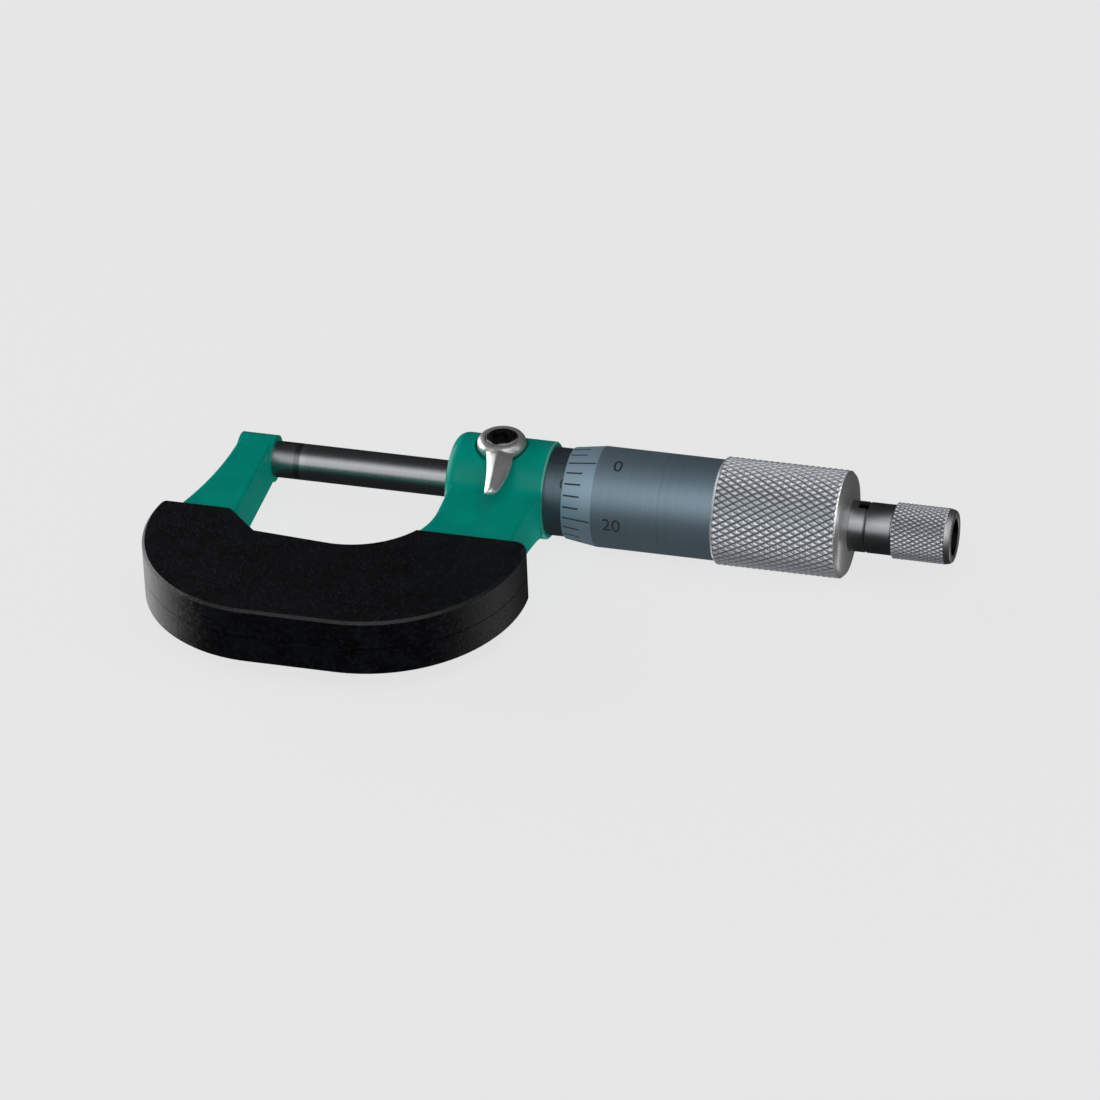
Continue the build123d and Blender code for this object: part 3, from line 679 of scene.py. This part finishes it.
class MICROMETER_OT_stage(bpy.types.Operator):
    """Adds the floor, the backdrop, the soft lights and the camera"""

    bl_idname = "micrometer.stage"
    bl_label = "Stage"

    def execute(self, context):
        scene = context.scene
        scene.view_settings.view_transform = "Standard"
        room_r = 6
        clear_selection()
        bpy.ops.mesh.primitive_circle_add(vertices=96, radius=room_r, fill_type="NGON")
        floor = added("floor")
        clear_selection()
        bpy.ops.mesh.primitive_uv_sphere_add(segments=64, ring_count=32, radius=room_r)
        backdrop = added("backdrop")
        # glow gives the even tone, and the floor's little base colour takes its soft shadow
        for piece, glow, base in ((floor, 0.732, 0.12), (backdrop, 0.822, 0.0)):
            tone = Finish(piece.name + "_finish", specular_ior_level=0.0, roughness=1.0)
            colour = tuple(colours().floor)
            tone.set("Base Color", shade(colour, base / FLOOR_TONE))
            tone.set("Emission Color", shade(colour, 1 / FLOOR_TONE))
            tone.set("Emission Strength", glow)
            piece.data.materials.append(tone.material)
            piece.visible_glossy = False
            piece.visible_shadow = False
            piece.visible_diffuse = piece is floor
        world = bpy.data.worlds.new("studio")
        scene.world = world
        world.use_nodes = True
        background = world.node_tree.nodes["Background"]
        background.inputs["Color"].default_value = (0.022, 0.023, 0.024, 1)
        background.inputs["Strength"].default_value = 1.0
        # place, size and radiance of each soft light
        self.light("key_softbox", (0.1, -1.2, 0.9), (2.6, 1.2), 1.0)
        self.light("top_softbox", (0.3, -0.3, 1.3), (2.0, 0.9), 0.95)
        self.light("back_left_card", (-0.8, 0.85, 0.6), (0.5, 0.4), 0.3)
        self.light("right_card", (1.35, -0.1, 0.4), (0.4, 0.6), 1.4)
        self.light("left_card", (-1.3, 0.35, 0.1), (1.3, 1.4), 3.0)
        self.light("left_table_glow", (-0.95, 0.6, -0.75), (0.9, 0.8), 1.2)
        self.light("right_table_glow", (0.9, 0.45, -0.75), (0.6, 0.6), 0.8)
        self.camera(scene)
        return {"FINISHED"}

    def light(self, name, at, size, radiance):
        """A soft rectangular light, in metres, that faces the object."""
        bpy.ops.object.light_add(type="AREA", location=at)
        lamp = bpy.context.object
        lamp.name = name
        lamp.data.shape = "RECTANGLE"
        lamp.data.size, lamp.data.size_y = size
        lamp.data.energy = radiance * math.pi * size[0] * size[1]
        lamp.rotation_euler = (-Vector(at)).to_track_quat("-Z", "Y").to_euler()

    def camera(self, scene):
        """The camera, at the angle of the photograph, far away with a long lens."""
        azimuth, elevation, roll = math.radians(16), math.radians(34), math.radians(-2.4)
        distance = 1.3
        aim = ORIGIN + MM * Vector((48.65, -17.7, 0))
        long_lens = 251
        back = Vector((
            math.sin(azimuth) * math.cos(elevation),
            -math.cos(azimuth) * math.cos(elevation),
            math.sin(elevation),
        ))
        bpy.ops.object.camera_add(location=aim + back * distance)
        camera = bpy.context.object
        turn = (-back).to_track_quat("-Z", "Y").to_matrix() @ Matrix.Rotation(roll, 3, "Z")
        camera.rotation_euler = turn.to_euler()
        camera.data.lens = long_lens
        camera.data.sensor_width = 36
        camera.data.clip_end = 50
        scene.camera = camera


class MICROMETER_OT_finishes(bpy.types.Operator):
    """Gives each CAD node that stays in sight its own finish"""

    bl_idname = "micrometer.finishes"
    bl_label = "Finishes"

    def execute(self, context):
        tones = colours()
        enamel = enamel_finish(tuple(tones.enamel))
        cover = cover_finish(tuple(tones.cover))

        def steel(name, share, rough, ring_scale, ring_depth, **marks):
            return turned_finish(name, shade(tones.steel, share), rough, ring_scale, ring_depth, **marks)

        ground = steel("ground_steel_finish", 0.88, 0.3, 14.0, 0.000004)
        anvil = steel("anvil_steel_finish", 0.66, 0.34, 14.0, 0.000004, cloud_share=0.55)
        anvil_tip = steel("anvil_tip_finish", 0.45, 0.3, 10.0, 0.000003)
        tip = steel("hard_tip_finish", 1.0, 0.3, 10.0, 0.000003)
        lathe = steel("turned_steel_finish", 0.8, 0.32, 9.0, 0.00001)
        # painted shade darkens the neck inside its notch and bore
        neck = steel("ratchet_steel_finish", 0.8, 0.34, 8.0, 0.000014, dark_within=NECK_R - 0.45)
        black = cast_metal_finish("black_steel_finish", (0.03, 0.031, 0.034), 0.2, metallic=0.7)
        brass = cast_metal_finish("pad_brass_finish", (0.62, 0.42, 0.14), 0.3)
        given = {
            "frame": enamel,
            "front_cover": cover,
            "back_cover": cover,
            "anvil": anvil,
            "spindle": ground,
            "anvil_tip": anvil_tip,
            "spindle_tip": tip,
            "inner_sleeve": lathe,
            "adjusting_nut": lathe,
            "lock_bolt": lathe,
            "lock_washer": black,
            "ratchet_ring": lathe,
            "ratchet_washer": lathe,
            "ratchet_base": neck,
            "ratchet_screw": black,
            "lock_pad": brass,
        }
        for node, material in given.items():
            dressed(node, material)
        return {"FINISHED"}


class MICROMETER_OT_thimble(bpy.types.Operator):
    """Models the thimble with its engraved bevel, its digits and its diamond knurl"""

    bl_idname = "micrometer.thimble"
    bl_label = "Thimble"

    def execute(self, context):
        size = sizes()
        start, end = THIMBLE_START, THIMBLE_END
        edge_r, bevel_end, barrel_r = 7.9, start + 5.4, 8.7
        rim, cone_r = end - 0.55, KNURL_R - 0.76
        band_start, band_end = start + 26.3, rim - 0.75
        valley_r = KNURL_R - size.knurl_depth
        lip_r = valley_r - 0.06
        bore = SLEEVE_R + 0.08
        hub, hub_bore = start + 38.4, 4.7
        face, recess_floor = end - 0.02, end - 3.2
        recess_r, hole_r, hole_start = 4.45, 4.1, hub + 7.4
        body = turned("thimble_body", [
            (start, bore), (start, edge_r - 0.05), (start + 0.05, edge_r),
            (bevel_end, barrel_r), (band_start, barrel_r),
            (band_start + 0.06, barrel_r + 0.1), (band_start + 0.46, KNURL_R - 0.1),
            (band_start + 0.5, KNURL_R - 0.1), (band_start + 0.55, lip_r),
            (band_end - 0.5, lip_r), (band_end, KNURL_R - 0.08), (band_end + 0.12, KNURL_R - 0.08),
            (rim - 0.03, KNURL_R - 0.7), (rim, cone_r), (face, recess_r + 0.05), (face, recess_r),
            (recess_floor, recess_r), (recess_floor, hole_r), (hole_start, hole_r),
            (hub, hub_bore), (hub, bore),
        ])
        step = 2 * math.pi / size.divisions
        zero = size.zero_angle
        slope = (barrel_r - edge_r) / (bevel_end - start)

        def line(name, x0, x1, turns):
            r0, r1 = edge_r + slope * (x0 - start), edge_r + slope * (x1 - start)
            return copies(bar(name, x0, x1, r0, r1, size.line_width, size.line_depth), turns, name)

        every = [zero - step * k for k in range(size.divisions)]
        short = [turn for k, turn in enumerate(every) if k % 5]
        long_lines = line("long_line", start + 0.3, bevel_end - 0.25, every[::5])
        short_lines = line("short_line", start + 0.3, start + 3.2, short)
        number_x = bevel_end + 3.7
        numbers = [
            digit("number", str(k), size.digit_height, number_x, barrel_r, every[k], size.line_depth)
            for k in range(0, size.divisions, 5)]
        cutter = joined("engraving", [long_lines, short_lines, *numbers])
        cutter.data.materials.clear()
        body.data.materials.clear()
        # painted sheen on the thimble from the knurl's lip to its end
        satin = turned_finish(
            "satin_chrome_finish", tuple(colours().satin), 0.5, 7.0, 0.00001, matt_to=bevel_end,
            bright_from=band_start, bright_tone=0.76, bright_gloss=0.2, metallic=0.8)
        ink = ink_finish()
        body.data.materials.append(satin)
        cutter.data.materials.append(ink)
        combined(body, cutter, "DIFFERENCE")
        smooth(body, 20)
        finished(body, "thimble", "satin_chrome", ["thimble"], satin, ink)
        band = diamond_band(
            "thimble_knurl", band_start + 0.5, band_end - 0.05, valley_r, KNURL_R,
            barrel_r - 0.1, size.knurl_columns, size.knurl_length)
        grip = knurl_finish("thimble_knurl_finish", tuple(colours().knurl), valley_r, KNURL_R)
        finished(band, "thimble", "satin_chrome", ["thimble"], grip)
        return {"FINISHED"}


class MICROMETER_OT_knob(bpy.types.Operator):
    """Models the ratchet knob with its fine diamond knurl and its recessed end"""

    bl_idname = "micrometer.knob"
    bl_label = "Ratchet knob"

    def execute(self, context):
        size = sizes()
        start, end = KNOB_START, KNOB_END
        skirt_r, bore, end_r, recess_r, hole_r = 4.35, 3.35, 4.53, 3.03, 1.25
        band_start, band_end = end - 10.25, end - 1.1
        recess_floor, cavity = end - 2.3, end - 3.5
        groove_r = skirt_r - 0.12
        valley_r = KNOB_R - size.knob_depth
        lip_r = valley_r - 0.04
        body = turned("ratchet_knob_body", [
            (start, bore), (start, skirt_r - 0.15), (start + 0.15, skirt_r),
            (band_start - 0.35, skirt_r), (band_start - 0.25, groove_r), (band_start - 0.05, groove_r),
            (band_start + 0.05, lip_r - 0.15), (band_start + 0.3, lip_r),
            (band_end - 0.3, lip_r), (band_end, KNOB_R - 0.05), (end - 0.5, end_r + 0.1),
            (end - 0.12, end_r - 0.1), (end, end_r - 0.3), (end, recess_r + 0.35),
            (end - 0.25, recess_r), (recess_floor, recess_r), (recess_floor, hole_r),
            (cavity, hole_r), (cavity, bore),
        ], 160)
        modified(body, "BEVEL", width=0.04, segments=2, limit_method="ANGLE",
                 angle_limit=math.radians(35))
        smooth(body, 30)
        # painted sheen on the knob's plain end, and painted shade in its recess
        neck = turned_finish(
            "knob_steel_finish", shade(colours().steel, 0.8), 0.36, 8.0, 0.000012,
            bright_from=band_end - 0.1, bright_tone=0.6, bright_gloss=-0.1, dark_within=recess_r + 0.15)
        finished(body, "ratchet_knob", "ratchet_steel", ["ratchet_knob"], neck)
        band = diamond_band(
            "ratchet_knob_knurl", band_start, band_end - 0.05, valley_r, KNOB_R,
            skirt_r - 0.15, size.knob_columns, size.knob_diamond)
        grip = knurl_finish("knob_knurl_finish", shade(colours().knurl, 0.85), valley_r, KNOB_R)
        finished(band, "ratchet_knob", "ratchet_steel", ["ratchet_knob"], grip)
        return {"FINISHED"}


class MICROMETER_OT_spring(bpy.types.Operator):
    """Models the ratchet's spring"""

    bl_idname = "micrometer.spring"
    bl_label = "Ratchet spring"

    def execute(self, context):
        size = sizes()
        start, end, outer_r = node_span("ratchet_spring")
        wire_r = size.spring_wire / 2
        seat = wire_r + 0.01
        pitch = (end - start - 2 * seat) / size.spring_turns
        steps = 28
        clear_selection()
        bpy.ops.mesh.primitive_circle_add(vertices=10, radius=wire_r, fill_type="NOTHING")
        coil = placed(added("ratchet_spring_coil"), turn=(math.pi / 2, 0, 0))
        placed(coil, (start + seat, 0, seat - outer_r))
        modified(coil, "SCREW", axis="X", screw_offset=pitch, iterations=size.spring_turns,
                 steps=steps, render_steps=steps)
        pick_all(coil)
        bpy.ops.mesh.remove_doubles(threshold=WELD)
        bpy.ops.mesh.fill_holes(sides=0)
        bpy.ops.mesh.normals_make_consistent(inside=False)
        close_edit()
        smooth(coil, 50)
        steel = cast_metal_finish("spring_steel_finish", (0.3, 0.3, 0.31), 0.3)
        finished(coil, "ratchet_knob", "spring_steel", ["ratchet_spring"], steel)
        1 - size.spring_stroke / (end - start)
        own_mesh(coil)
        return {"FINISHED"}


class MICROMETER_OT_sleeve(bpy.types.Operator):
    """Models the sleeve with its engraved main scale, vernier scale and spanner hole"""

    bl_idname = "micrometer.sleeve"
    bl_label = "Sleeve"

    def execute(self, context):
        size = sizes()
        start, end, radius = SLEEVE_START, SLEEVE_END, SLEEVE_R
        zero_x, zero = THIMBLE_START, size.zero_angle
        scale_end = zero_x + INCH + 0.5
        bore = 6.2
        body = turned("sleeve_body", [
            (start, bore), (start, radius), (end - 0.3, radius), (end, radius - 0.3), (end, bore)])
        width, depth = 0.15, size.line_depth * 0.8
        index = bar("index", start + 0.6, scale_end, radius, radius, width, depth)
        cutters = [placed(index, turn=(zero, 0, 0))]
        # forty turns of the screw to the inch: every fourth tick is long and numbered
        ticks, long_tick, middle_tick, short_tick = 40, 2.6, 1.5, 1.1
        for k in range(ticks + 1):
            x = zero_x + k * INCH / ticks
            reach = long_tick if k % 4 == 0 else middle_tick if k % 2 == 0 else short_tick
            clear_selection()
            bpy.ops.mesh.primitive_cube_add(size=1)
            tick = placed(added("tick"), (x, -reach / 2, radius), scale=(width, reach, 4 * depth))
            cutters.append(placed(tick, turn=(zero, 0, 0)))
            if k % 4 == 0:
                turn = zero + (long_tick + 1.2) / radius
                cutters.append(digit("number", str(k // 4 % 10), 1.7, x, radius, turn, depth))
        # ten vernier divisions take up nine of the thimble's
        vernier = math.radians(0.9 * 360 / size.divisions)
        for k in range(1, 11):
            turn = zero - k * vernier
            line = bar("vernier", start + 2.2, scale_end, radius, radius, width, depth)
            cutters.append(placed(line, turn=(turn, 0, 0)))
            cutters.append(digit("number", str(k % 10), 1.0, start + 1.3, radius, turn, depth))
        cutter = joined("scale", cutters)
        skin_start, skin_end, skin_in, skin_out = start + 0.2, end - 0.1, radius - depth, radius + 0.5
        skin = turned("skin", [
            (skin_start, skin_in), (skin_start, skin_out), (skin_end, skin_out), (skin_end, skin_in)])
        cutter = combined(cutter, skin, "INTERSECT", True)
        satin = turned_finish(
            "sleeve_finish", shade(colours().satin, 0.48), 0.45, 8.0, 0.00001, metallic=0.85)
        ink = bpy.data.materials["engraving_ink"]
        body.data.materials.append(satin)
        cutter.data.materials.clear()
        cutter.data.materials.append(ink)
        combined(body, cutter, "DIFFERENCE")
        clear_selection()
        bpy.ops.mesh.primitive_cylinder_add(vertices=32, radius=0.7, depth=4)
        drill = placed(added("drill"), (zero_x - 1.7, 0, -radius))
        drill.data.materials.append(satin)
        combined(body, drill, "DIFFERENCE")
        smooth(body, 20)
        finished(body, "frame", "satin_chrome", ["sleeve"], satin, ink)
        return {"FINISHED"}


class MICROMETER_OT_lever(bpy.types.Operator):
    """Models the polished lever of the spindle lock"""

    bl_idname = "micrometer.lever"
    bl_label = "Lock lever"

    def execute(self, context):
        screw_low, screw_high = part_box("lock_screw")
        centre_x = along((screw_low.x + screw_high.x) / 2)
        top = above_axis(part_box("lock_lever")[1].z)
        hub_r, hub_height = 4.25, 2.3
        hub_low = top - hub_height
        seat_r, seat_depth, foot_r, foot_depth = 2.86, 1.4, 1.95, 0.9
        hub = turned("hub", [
            (0, 0), (0, hub_r - 0.45), (0.35, hub_r - 0.08), (0.9, hub_r), (1.6, hub_r - 0.1),
            (2.1, hub_r - 0.45), (hub_height, hub_r - 1.0), (hub_height, 0),
        ], 96)
        placed(hub, turn=(0, -math.pi / 2, 0))
        placed(hub, (0, 0, hub_low))
        arm = self.arm(top, hub_low)
        combined(hub, arm, "UNION")
        modified(hub, "REMESH", mode="VOXEL", voxel_size=0.14)
        modified(hub, "SMOOTH", factor=0.5, iterations=5)
        self.bore(hub, seat_r, top - seat_depth + 2, 96)
        self.bore(hub, foot_r, hub_low + foot_depth - 2, 48)
        placed(hub, (centre_x, 0, 0), (0, 0, math.radians(8.5)))
        smooth(hub, 40)
        nickel = cast_metal_finish("lever_nickel_finish", tuple(colours().nickel), 0.36, 0.00006, 0.85)
        hub.name = "lock_lever_body"
        finished(hub, "lock_lever", "lever_nickel", ["lock_lever"], nickel)
        return {"FINISHED"}

    def bore(self, hub, radius, middle, vertices):
        """Bores the hub from above or below with a drill that is 4 mm long."""
        clear_selection()
        bpy.ops.mesh.primitive_cylinder_add(vertices=vertices, radius=radius, depth=4)
        drill = placed(added("drill"), (0, 0, middle))
        combined(hub, drill, "DIFFERENCE")

    def arm(self, top, hub_low):
        """The arm: a block drawn out from the hub, section by section, with a crest along it."""
        clear_selection()
        bpy.ops.mesh.primitive_cube_add(size=1)
        arm = added("arm")
        # reach, middle, width, low, high of each section
        sections = [
            (0.0, 0.0, 5.4, hub_low + 0.8, top - 0.3),
            (3.2, 0.0, 5.2, hub_low + 0.7, top - 0.45),
            (5.5, 0.25, 5.0, hub_low + 0.4, top - 0.75),
            (8.0, 0.3, 4.4, hub_low + 0.1, top - 1.0),
            (10.8, 0.05, 3.6, hub_low - 0.5, top - 1.5),
            (13.2, -0.35, 2.7, hub_low - 0.9, top - 1.9),
            (14.6, -0.6, 1.9, hub_low - 0.95, top - 2.2),
        ]
        reach, middle, width, low, high = sections[0]
        placed(arm, (middle, -reach, (low + high) / 2), scale=(width, 0.4, high - low))
        for section in sections[1:]:
            new_reach, new_middle, new_width, new_low, new_high = section
            front = min(v.co.y for v in arm.data.vertices)
            pick(arm, lambda co: co.y < front + NEAR)
            move = (new_middle - middle, -new_reach - front, (new_low + new_high - low - high) / 2)
            bpy.ops.mesh.extrude_region_move(TRANSFORM_OT_translate={"value": move})
            share = (new_width / width, 1, (new_high - new_low) / (high - low))
            bpy.ops.transform.resize(value=share)
            close_edit()
            middle, width, low, high = new_middle, new_width, new_low, new_high
        modified(arm, "SUBSURF", levels=3, render_levels=3)
        across, crest_start, crest_height, crest_spread = Vector((1, -0.03, 0)), -5, 0.75, 2.2
        pick_all(arm)
        bpy.ops.mesh.bisect(plane_co=(0, 0, 0), plane_no=across)
        close_edit()
        pick(arm, lambda co: (
            abs(co.dot(across)) < WELD and co.y < crest_start and self.on_top(arm, co)))
        bpy.ops.transform.translate(
            value=(0, 0, crest_height), use_proportional_edit=True,
            proportional_edit_falloff="LINEAR", proportional_size=crest_spread)
        close_edit()
        return arm

    def on_top(self, arm, co):
        """Whether a point is on the upper side of the arm."""
        near = [v.co.z for v in arm.data.vertices if abs(v.co.y - co.y) < 0.4]
        return co.z > (min(near) + max(near)) / 2


class MICROMETER_OT_lock_screw(bpy.types.Operator):
    """Models the socket-head screw of the lock, with its knurled rim"""

    bl_idname = "micrometer.lock_screw"
    bl_label = "Lock screw"

    def execute(self, context):
        low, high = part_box("lock_screw")
        centre_x = along((low.x + high.x) / 2)
        top, bottom = above_axis(high.z), above_axis(low.z)
        head_r, head_height, groove, chamfer = 2.75, 1.6, 0.16, 0.18
        key_width, socket_depth = 2.5, 1.1
        shank_r, overlap = 1.1, 0.2
        clear_selection()
        bpy.ops.mesh.primitive_cylinder_add(vertices=96, radius=head_r, depth=head_height)
        head = placed(added("lock_screw_body"), (0, 0, top - head_height / 2))
        # every third of the 96 points round the head is pressed in, as its fine knurl
        pick(head, lambda co: round((math.degrees(math.atan2(co.y, co.x)) % 360) / 3.75) % 3 == 1)
        share = (head_r - groove) / head_r
        bpy.ops.transform.resize(value=(share, share, 1), center_override=(0, 0, 0))
        close_edit()
        pick(head, lambda face: face.normal.z > 0.9, "FACE")
        bpy.ops.mesh.inset(thickness=chamfer, depth=0)
        close_edit()
        pick(head, lambda co: math.hypot(co.x, co.y) > head_r - 0.2 and co.z > top - 0.5)
        bpy.ops.transform.translate(value=(0, 0, -chamfer))
        close_edit()
        clear_selection()
        corner_r = key_width / 2 / math.cos(math.pi / 6)
        bpy.ops.mesh.primitive_cylinder_add(vertices=6, radius=corner_r, depth=2 * socket_depth)
        socket = placed(added("socket"), (0, 0, top))
        combined(head, socket, "DIFFERENCE")
        modified(head, "BEVEL", width=0.09, segments=2, limit_method="ANGLE",
                 angle_limit=math.radians(40))
        shank_top = top - head_height + overlap
        clear_selection()
        bpy.ops.mesh.primitive_cylinder_add(vertices=40, radius=shank_r, depth=shank_top - bottom)
        shank = placed(added("shank"), (0, 0, (bottom + shank_top) / 2))
        modified(shank, "BEVEL", width=0.1, segments=2, limit_method="ANGLE")
        combined(head, shank, "UNION")
        placed(head, (centre_x, 0, 0))
        smooth(head, 30)
        oxide = worn_screw_finish(centre_x, head_r - 0.3)
        finished(head, "lock_lever", "black_steel", ["lock_screw"], oxide)
        return {"FINISHED"}


class MICROMETER_PT_panel(bpy.types.Panel):
    """The sidebar panel that lists the pieces, sizes and colours"""

    bl_idname = "MICROMETER_PT_panel"
    bl_label = "Micrometer"
    bl_space_type = "VIEW_3D"
    bl_region_type = "UI"
    bl_category = "Micrometer"

    def draw(self, context):
        for group in (context.scene.micrometer_sizes, context.scene.micrometer_colours):
            for name in group.__annotations__:
                self.layout.prop(group, name)
        for operator in OPERATORS:
            self.layout.operator(operator.bl_idname)


OPERATORS = (
    MICROMETER_OT_stage,
    MICROMETER_OT_finishes,
    MICROMETER_OT_thimble,
    MICROMETER_OT_knob,
    MICROMETER_OT_spring,
    MICROMETER_OT_sleeve,
    MICROMETER_OT_lever,
    MICROMETER_OT_lock_screw,
)
CLASSES = (MicrometerSizes, MicrometerColours, *OPERATORS, MICROMETER_PT_panel)


def register():
    for item in CLASSES:
        bpy.utils.register_class(item)
    bpy.types.Scene.micrometer_sizes = PointerProperty(type=MicrometerSizes)
    bpy.types.Scene.micrometer_colours = PointerProperty(type=MicrometerColours)


def unregister():
    del bpy.types.Scene.micrometer_sizes
    del bpy.types.Scene.micrometer_colours
    for item in reversed(CLASSES):
        bpy.utils.unregister_class(item)


def main():
    """Builds every piece in order."""
    register()
    bpy.ops.micrometer.stage()
    bpy.ops.micrometer.finishes()
    bpy.ops.micrometer.thimble()
    bpy.ops.micrometer.knob()
    bpy.ops.micrometer.spring()
    bpy.ops.micrometer.sleeve()
    bpy.ops.micrometer.lever()
    bpy.ops.micrometer.lock_screw()
    clear_selection()


if __name__ == "__main__":
    main()
